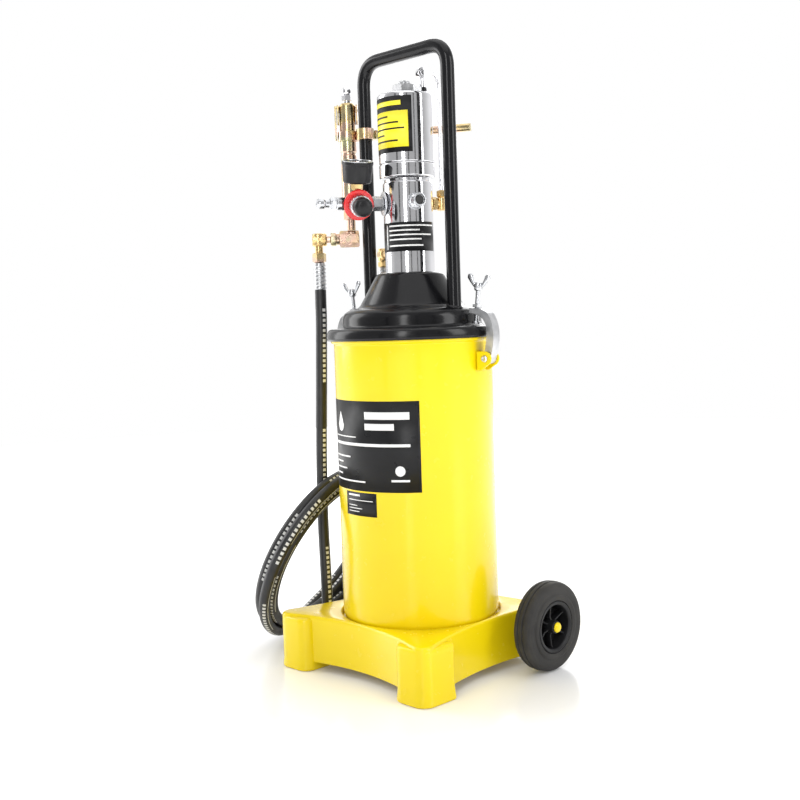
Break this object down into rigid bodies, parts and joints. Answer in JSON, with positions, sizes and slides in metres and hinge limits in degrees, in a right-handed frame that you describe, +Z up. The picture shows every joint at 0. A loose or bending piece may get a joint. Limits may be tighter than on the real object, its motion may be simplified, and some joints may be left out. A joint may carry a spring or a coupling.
{
  "type": "wheeled grease dispenser",
  "caption": "Wheeled air-operated grease dispenser: closed drum on a foot frame, clamped lid with push handle, air pump with regulator and gauge, and a hose with a lever gun.",
  "frame": {"origin": "on the floor at the middle of the footprint, hose and its end fittings left out", "axes": "+Z up; the axle runs along X; the two fixed feet are towards -Y and the wheels towards +Y"},
  "size_m": [0.4204, 0.2726, 0.782],
  "materials": {
    "yellow_paint": "gloss",
    "black_paint": "gloss",
    "chrome": "polished",
    "zinc": "satin",
    "yellow_zinc": "satin",
    "brass": "satin",
    "steel": "satin",
    "tyre": "matt",
    "hose": "satin",
    "rubber": "matt",
    "black_plastic": "matt",
    "red_plastic": "gloss",
    "lens": "clear"
  },
  "bodies": {
    "dispenser": {"base_frame": "yellow_paint", "axle": "zinc", "tank": "yellow_paint", "tank_gasket": "rubber", "lid": "black_paint", "handle": "black_paint", "right_clamp_ear": "yellow_paint", "right_clamp_pin": "zinc", "left_clamp_ear": "yellow_paint", "left_clamp_pin": "zinc", "pump_barrel": "chrome", "pump_collar": "chrome", "air_cylinder": "chrome", "cylinder_cap": "chrome", "lid_lock_nut": "steel", "suction_tube": "steel", "foot_valve": "brass", "muffler": "zinc", "air_elbow": "brass", "crossover_tube": "chrome", "crossover_fitting": "chrome", "regulator_coupling": "zinc", "regulator_body": "black_plastic", "regulator_ring": "red_plastic", "gauge_stem": "brass", "gauge_case": "black_plastic", "gauge_lens": "lens", "quick_plug": "zinc", "hanger_bar": "yellow_zinc", "gun_body": "yellow_zinc", "gun_outlet_nut": "chrome", "gun_lever_pin_outer": "zinc", "gun_lever_pin_inner": "zinc", "gun_inlet_nut": "yellow_zinc", "swivel_block": "brass", "swivel_nut": "yellow_zinc", "hose_elbow": "brass", "gun_ferrule": "yellow_zinc", "grease_outlet": "brass", "outlet_ferrule": "yellow_zinc", "hose_drop": "hose", "hose_coil": "hose", "hose_rise": "hose"},
    "left_wheel": {"left_tyre": "tyre", "left_wheel_rim": "black_plastic", "left_hub_cap": "yellow_paint"},
    "right_wheel": {"right_tyre": "tyre", "right_wheel_rim": "black_plastic", "right_hub_cap": "yellow_paint"},
    "right_hook": {"right_clamp_hook": "zinc"},
    "right_bolt": {"right_wing_bolt": "zinc"},
    "left_hook": {"left_clamp_hook": "zinc"},
    "left_bolt": {"left_wing_bolt": "zinc"},
    "knob": {"regulator_knob": "black_plastic"},
    "needle": {"gauge_needle": "red_plastic"},
    "lever": {"gun_lever": "yellow_zinc"},
    "pump_plunger": {"pump_rod": "steel", "air_piston": "brass"},
    "follower": {"follower_plate": "rubber"}
  },
  "joints": [
    {"name": "left_wheel_spin", "type": "hinge", "parent": "dispenser", "child": "left_wheel", "pos_m": [-0.12444, 0.075, 0.056], "axis": [1, 0, 0], "continuous": true},
    {"name": "right_wheel_spin", "type": "hinge", "parent": "dispenser", "child": "right_wheel", "pos_m": [0.14156, 0.075, 0.056], "axis": [1, 0, 0], "continuous": true},
    {"name": "right_clamp_swing", "type": "hinge", "parent": "dispenser", "child": "right_hook", "pos_m": [0.11886, 0.01945, 0.392], "axis": [-0.1736, 0.9848, 0], "range_deg": [0, 100]},
    {"name": "left_clamp_swing", "type": "hinge", "parent": "dispenser", "child": "left_hook", "pos_m": [-0.10282, -0.01171, 0.392], "axis": [0.1045, -0.9945, 0], "range_deg": [0, 100]},
    {"name": "right_bolt_turn", "type": "hinge", "parent": "right_hook", "child": "right_bolt", "pos_m": [0.10409, 0.01684, 0.4509], "axis": [-0.1029, -0.0182, -0.9945], "continuous": true},
    {"name": "left_bolt_turn", "type": "hinge", "parent": "left_hook", "child": "left_bolt", "pos_m": [-0.08791, -0.01014, 0.4509], "axis": [0.104, 0.0109, -0.9945], "continuous": true},
    {"name": "knob_turn", "type": "hinge", "parent": "dispenser", "child": "knob", "pos_m": [-0.02289, -0.05916, 0.588], "axis": [-0.8567, 0.4555, 0.2419], "range_deg": [0, 1080]},
    {"name": "needle_sweep", "type": "hinge", "parent": "dispenser", "child": "needle", "pos_m": [-0.02289, -0.05916, 0.588], "axis": [-0.2136, 0.1136, -0.9703], "range_deg": [0, 270]},
    {"name": "lever_squeeze", "type": "hinge", "parent": "dispenser", "child": "lever", "pos_m": [-0.09144, -0.007, 0.718], "axis": [-0.6947, -0.7193, 0], "range_deg": [0, 20], "stiffness_Nm_per_rad": 0.4, "springref_deg": -28.65},
    {"name": "plunger_stroke", "type": "slide", "parent": "dispenser", "child": "pump_plunger", "axis": [0, 0, 1], "range_m": [-0.03, 0.02]},
    {"name": "follower_travel", "type": "slide", "parent": "dispenser", "child": "follower", "axis": [0, 0, 1], "range_m": [-0.2, 0.07]}
  ],
  "couplings": [
    {"joint": "needle_sweep", "follows": "knob_turn", "ratio": 0.25}
  ]
}
